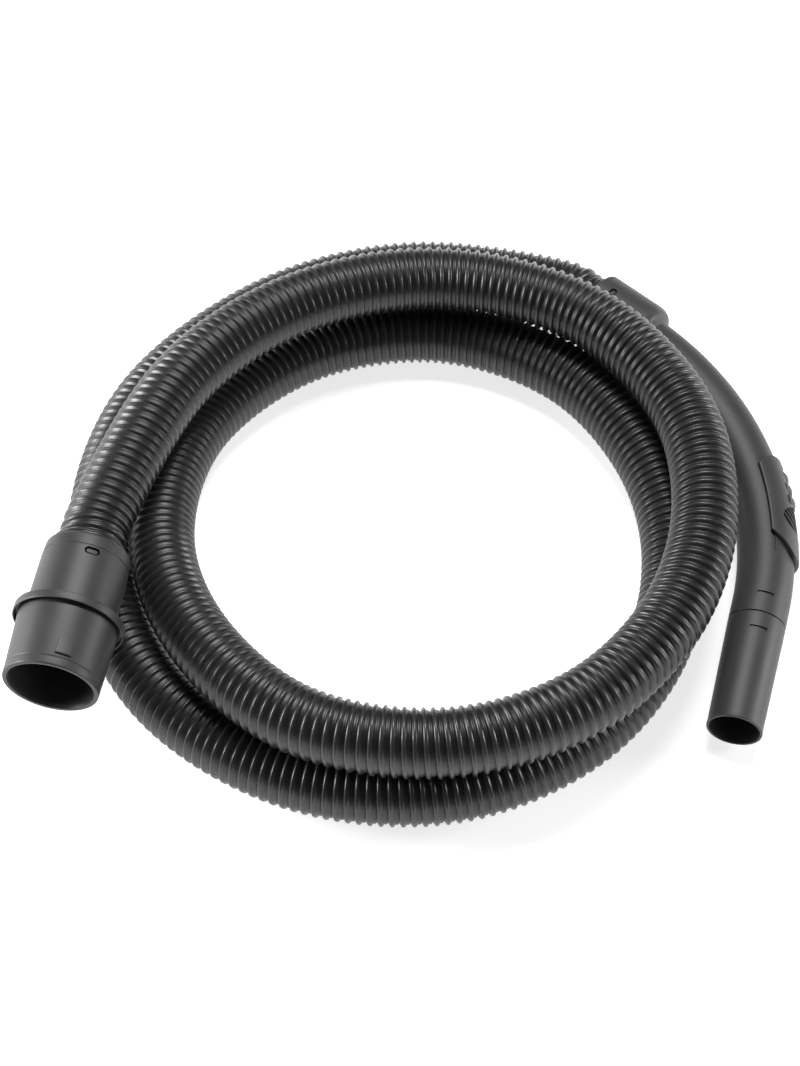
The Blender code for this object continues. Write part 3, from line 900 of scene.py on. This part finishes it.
def bar_mesh():
    """One slanting vent bar, standing about the handle's line at the vent."""
    back = handle_at(VENT_MIDDLE * MM).inverted()
    points = []
    profile = ((-2.3, 20.0), (-2.3, 21.2), (-1.5, 21.7), (1.5, 21.7), (2.3, 21.2), (2.3, 20.0))
    for distance in steps(VENT_MIDDLE - BAR_REACH, VENT_MIDDLE + BAR_REACH, 12):
        middle = (distance - VENT_MIDDLE) * BAR_SLANT
        for degrees, radius in profile:
            points.append(back @ on_handle(middle + degrees, distance, radius))
    return prism("vent_bar", points, len(profile))


def make_slider():
    across = [math.sin(math.pi / 2 * t) for t in steps(-1.0, 1.0, 72)]
    along = [SLIDER_START + NEAR_CORNER * (1 - math.cos(math.pi / 2 * t)) for t in steps(0.0, 1.0, 14)][:-1]
    along += steps(SIDES_START, RIBS_END, 60)[:-1] + steps(RIBS_END, SIDES_END, 14)[:-1]
    along += [SIDES_END + FAR_POINT * math.sin(math.pi / 2 * t) for t in steps(0.0, 1.0, 26)]
    cover = patch("slider_cover", across, along, slider_place, lambda u, v: SLIDER_INNER, slider_top,
                  SLIDER_GREY)
    vent = patch("vent_cut", steps(-1.0, 1.0, 40),
                 [VENT_MIDDLE - VENT_HALF * math.cos(math.pi * t) for t in steps(0.0, 1.0, 24)],
                 lambda u, v, radius: on_handle(u * vent_half(v), v, radius),
                 lambda u, v: 17.0, lambda u, v: 24.0)
    cut(cover, vent)
    crisp(cover, 38.0)
    ribs = grown("slider_grip_ribs", rib_mesh(), grip_ribs(), {
        "Ribs": 3, "Step": -RIB_STEP * MM / BEND_RADIUS, "Widen": RIB_WIDEN, "Finish": SLIDER_GREY})
    ribs.data.transform(bend_matrix)
    bars = grown("slider_vent_bars", bar_mesh(), vent_bars(), {
        "Bars": BARS, "Step": BAR_STEP, "Finish": SLIDER_GREY})
    bars.data.transform(handle_at(VENT_MIDDLE * MM))
    for piece in (ribs, bars):
        tidied(piece.data)
        crisp(piece, 40.0)
    for piece in (cover, ribs, bars):
        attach(piece, "slider")
    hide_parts("air_slider")


make_slider()

for node in ("connector_seal", "handle_seal"):
    for place in bpy.data.objects[node].material_slots:
        place.material = RUBBER


# ---------------------------------------------------------------- floor and light
FLOOR_SIZE = 8.0


def lay_floor():
    mesh = bpy.data.meshes.new("floor")
    half = FLOOR_SIZE / 2
    corners = [(-half, -half, 0.0), (half, -half, 0.0), (half, half, 0.0), (-half, half, 0.0)]
    mesh.from_pydata(corners, [], [(0, 1, 2, 3)])
    mesh.materials.append(pale_floor())
    linked("floor", mesh)


def hang_light(name, place, target, size, power):
    data = bpy.data.lights.new(name, "AREA")
    data.shape = "RECTANGLE"
    data.size, data.size_y = size
    data.energy = power
    lamp = bpy.data.objects.new(name, data)
    lamp.location = place
    lamp.rotation_euler = (Vector(target) - Vector(place)).to_track_quat("-Z", "Y").to_euler()
    bpy.context.scene.collection.objects.link(lamp)


lay_floor()
hang_light("softbox_left", (-1.8, 0.15, 0.55), (-0.1, 0.0, 0.03), (0.8, 0.6), 34.0)
hang_light("softbox_right", (1.7, 0.1, 0.45), (0.1, 0.0, 0.03), (0.5, 0.5), 13.0)
hang_light("softbox_above", (0.1, 0.6, 1.6), (0.0, 0.0, 0.03), (0.9, 0.4), 24.0)
world = bpy.data.worlds.new("studio")
world.use_nodes = True
world.node_tree.nodes["Background"].inputs["Color"].default_value = (1.0, 1.0, 1.0, 1.0)
world.node_tree.nodes["Background"].inputs["Strength"].default_value = 0.10
bpy.context.scene.world = world
bpy.context.scene.view_settings.view_transform = "Standard"
